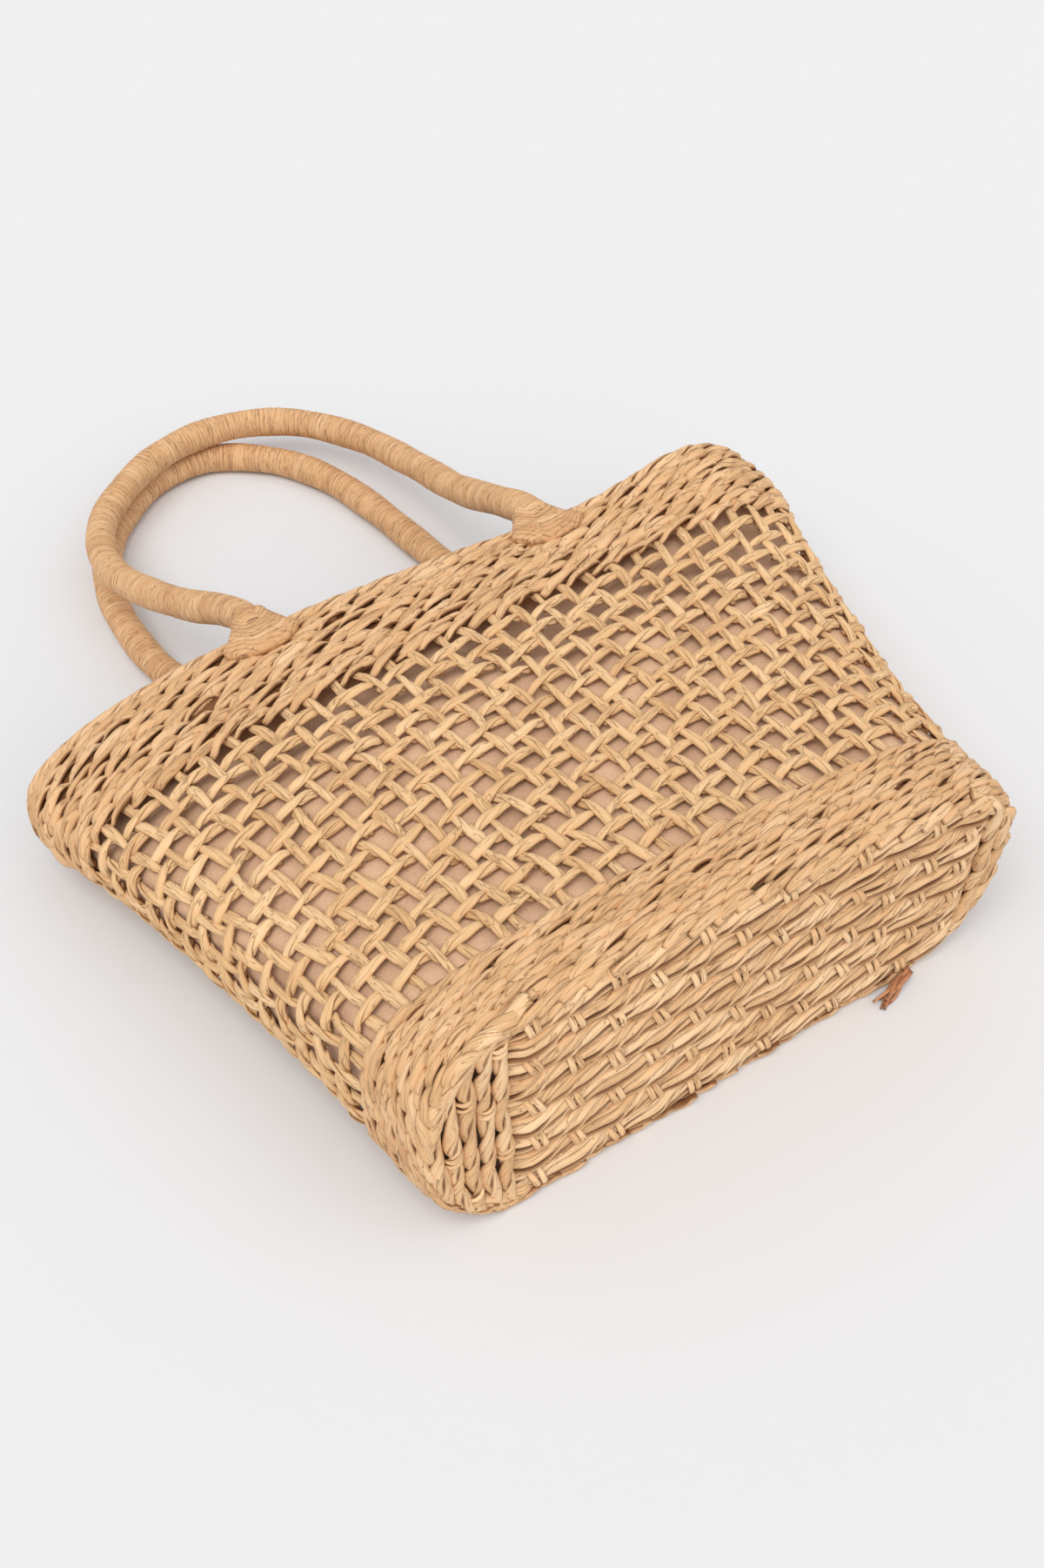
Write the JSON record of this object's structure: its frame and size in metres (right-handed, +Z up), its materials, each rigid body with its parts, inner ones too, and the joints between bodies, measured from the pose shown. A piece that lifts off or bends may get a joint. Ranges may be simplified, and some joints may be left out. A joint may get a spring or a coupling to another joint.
{
  "type": "straw basket bag",
  "caption": "Soft open-woven straw tote bag lying on its back, with close bands at base and rim, a cloth lining and two wound handles.",
  "frame": {"origin": "on the surface that the bag lies on, under the middle of its box", "axes": "+Y from the base to the mouth and handles, +Z up from the back panel to the front panel, +X across the bag"},
  "size_m": [0.4402, 0.5618, 0.124],
  "materials": {
    "straw_base": "thick twisted paper straw, matt with a faint sheen",
    "straw_band": "close woven paper straw, matt with a faint sheen",
    "straw_net": "open woven paper straw, matt with a faint sheen",
    "handle_winding": "tight winding of paper straw over a rope core",
    "lining_cloth": "plain woven cotton, matt"
  },
  "bodies": {
    "root": {"base": "straw_base", "lower_band": "straw_band", "net_wall": "straw_net", "rim_band": "straw_band", "lining": "lining_cloth", "handle_front": "handle_winding", "handle_back": "handle_winding", "anchor_front_left": "handle_winding", "anchor_front_right": "handle_winding", "anchor_back_left": "handle_winding", "anchor_back_right": "handle_winding"}
  },
  "joints": []
}
